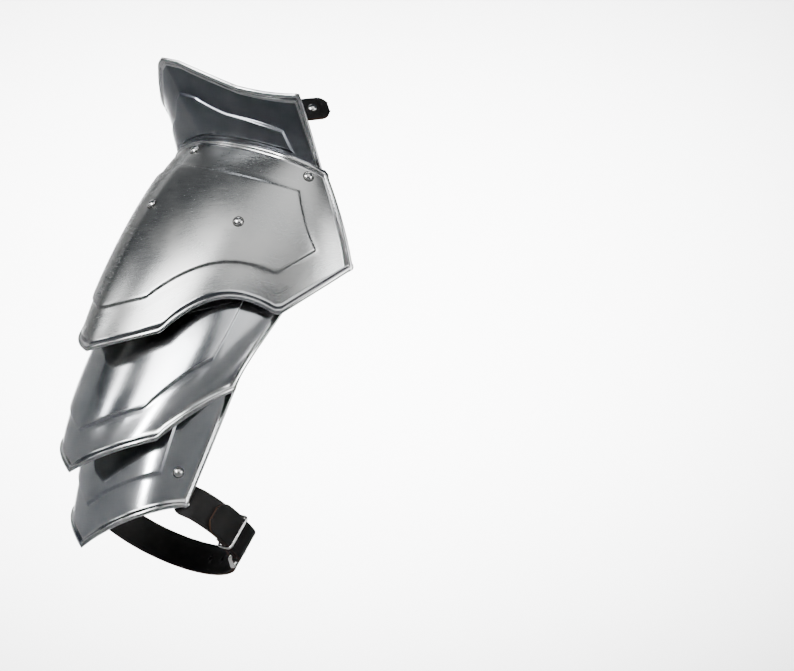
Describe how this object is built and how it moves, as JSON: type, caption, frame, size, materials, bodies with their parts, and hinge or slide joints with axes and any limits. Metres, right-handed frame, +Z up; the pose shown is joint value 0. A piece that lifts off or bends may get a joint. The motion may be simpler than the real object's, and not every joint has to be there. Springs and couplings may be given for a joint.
{
  "type": "pauldron",
  "caption": "Steel shoulder armour for a right arm: ridged shoulder plate, standing neck guard and hanging lames on leathers, with a buckled arm strap and a suspension strap.",
  "frame": {"origin": "the shoulder seat: the point of the main plate's inner face, on its ridge, that rests on top of the shoulder", "axes": "+Z up, -Y the way the wearer faces, -X out along the arm"},
  "size_m": [0.2243, 0.2212, 0.395],
  "materials": {
    "steel": "satin semi-polished steel with fine scratches and a faint mottle",
    "black_leather": "black smooth leather, edges a little brown",
    "bright_steel": "bright polished rivets and buckle"
  },
  "bodies": {
    "root": {"main_plate": "steel", "neck_guard": "steel", "upper_lame": "steel", "lower_lame": "steel", "centre_leather": "black_leather", "front_leather": "black_leather", "rear_leather": "black_leather", "suspension_strap": "black_leather", "arm_strap": "black_leather", "buckle_tab": "black_leather", "neck_rivet_ridge": "bright_steel", "neck_rivet_front": "bright_steel", "neck_rivet_rear": "bright_steel", "main_rivet_ridge": "bright_steel", "main_rivet_front": "bright_steel", "main_rivet_rear": "bright_steel", "upper_rivet_ridge": "bright_steel", "upper_rivet_front": "bright_steel", "upper_rivet_rear": "bright_steel", "lower_rivet_ridge": "bright_steel", "lower_rivet_front": "bright_steel", "lower_rivet_rear": "bright_steel", "strap_rivet_front": "bright_steel", "strap_rivet_rear": "bright_steel", "suspension_rivet": "bright_steel", "arm_buckle": "bright_steel", "buckle_prong": "bright_steel", "arm_keeper": "bright_steel"}
  },
  "joints": []
}
